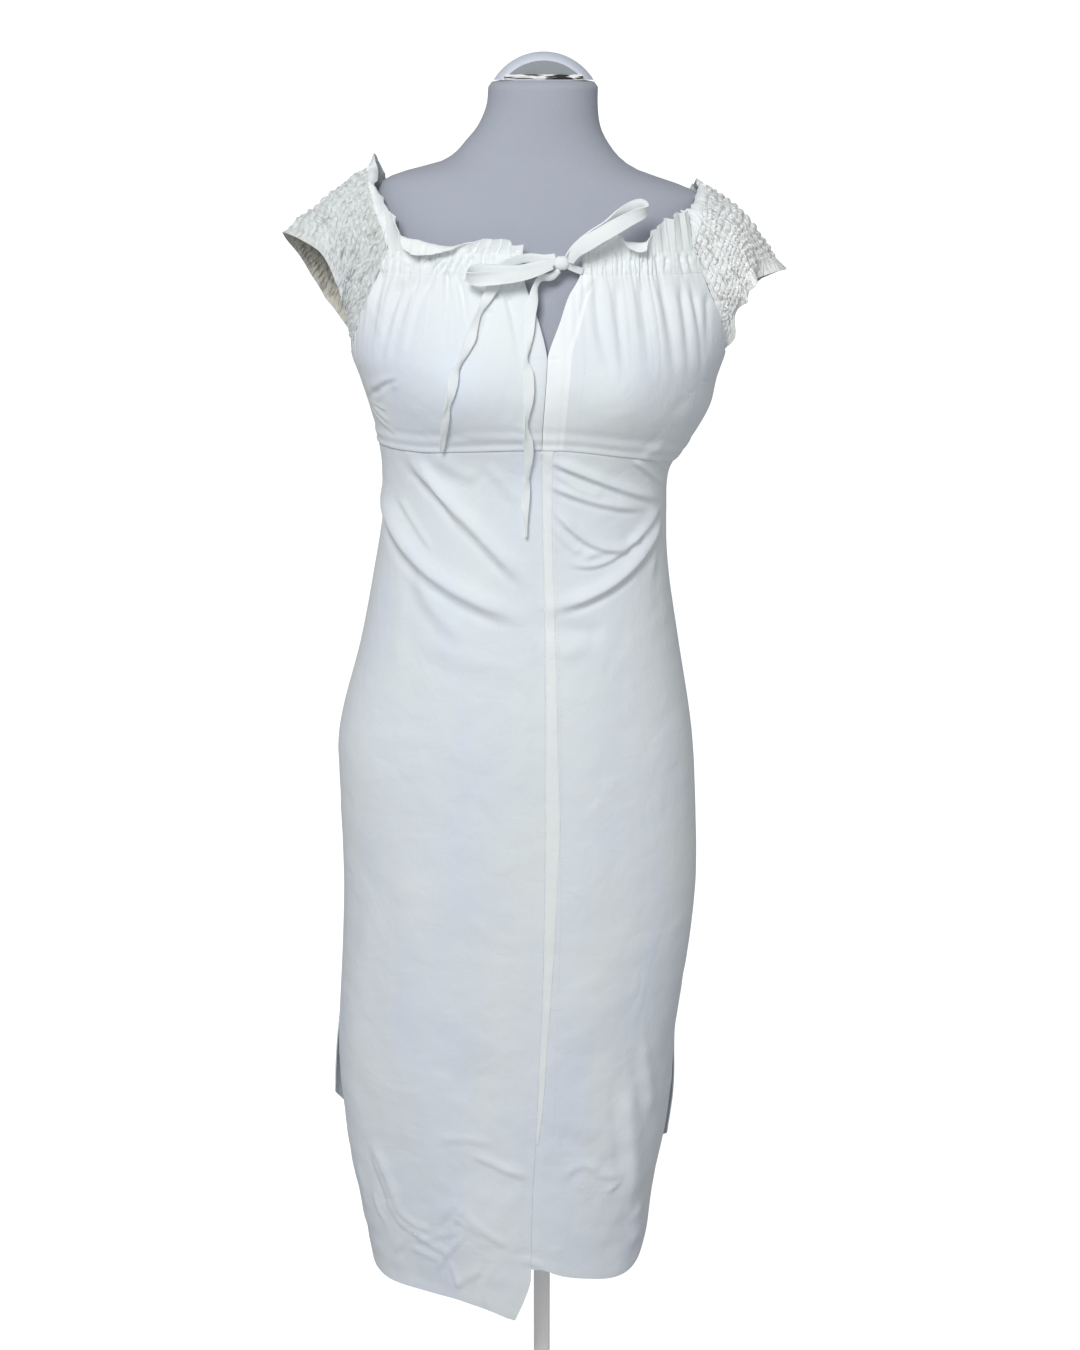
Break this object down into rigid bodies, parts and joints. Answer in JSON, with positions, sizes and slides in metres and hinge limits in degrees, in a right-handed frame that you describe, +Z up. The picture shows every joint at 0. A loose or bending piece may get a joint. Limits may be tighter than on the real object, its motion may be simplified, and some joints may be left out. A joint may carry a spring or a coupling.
{
  "type": "milkmaid dress on a limbless dress form",
  "caption": "Long milkmaid dress with a gathered, ruffled neck, a ribbon tie, shirred cap sleeves and a curved hem, on a limbless dress form with a round foot.",
  "frame": {"origin": "the middle of the underside of the stand's round base, on the floor", "axes": "+Z up; the dress faces -Y; +X is the viewer's right when it is seen from the front"},
  "size_m": [0.5004, 0.38, 1.577],
  "materials": {
    "cotton": "fine white cotton, matt",
    "tie_cotton": "cream cotton, matt",
    "jersey": "grey-lavender stretch jersey, matt",
    "cap_plastic": "satin",
    "cap_grey": "satin",
    "chrome": "polished",
    "base_paint": "satin white"
  },
  "bodies": {
    "root": {"bodice_back": "cotton", "bodice_front_left": "cotton", "bodice_front_right": "cotton", "cap_face": "cap_grey", "form_torso": "jersey", "front_tape": "cotton", "neck_cap": "cap_plastic", "neck_casing_back": "cotton", "neck_casing_left": "cotton", "neck_casing_right": "cotton", "neck_ruffle_back": "cotton", "neck_ruffle_left": "cotton", "neck_ruffle_right": "cotton", "neck_trim": "chrome", "skirt_back": "cotton", "skirt_front_left": "cotton", "skirt_front_right": "cotton", "sleeve_left": "cotton", "sleeve_right": "cotton", "sleeve_ruffle_left": "cotton", "sleeve_ruffle_right": "cotton", "stand_base": "base_paint", "stand_collar": "chrome", "stand_pole": "base_paint", "tie_knot": "tie_cotton", "tie_loop_left": "tie_cotton", "tie_loop_right": "tie_cotton", "tie_strand_left": "tie_cotton", "tie_strand_right": "tie_cotton", "tie_tail_left": "tie_cotton", "tie_tail_right": "tie_cotton"}
  },
  "joints": []
}
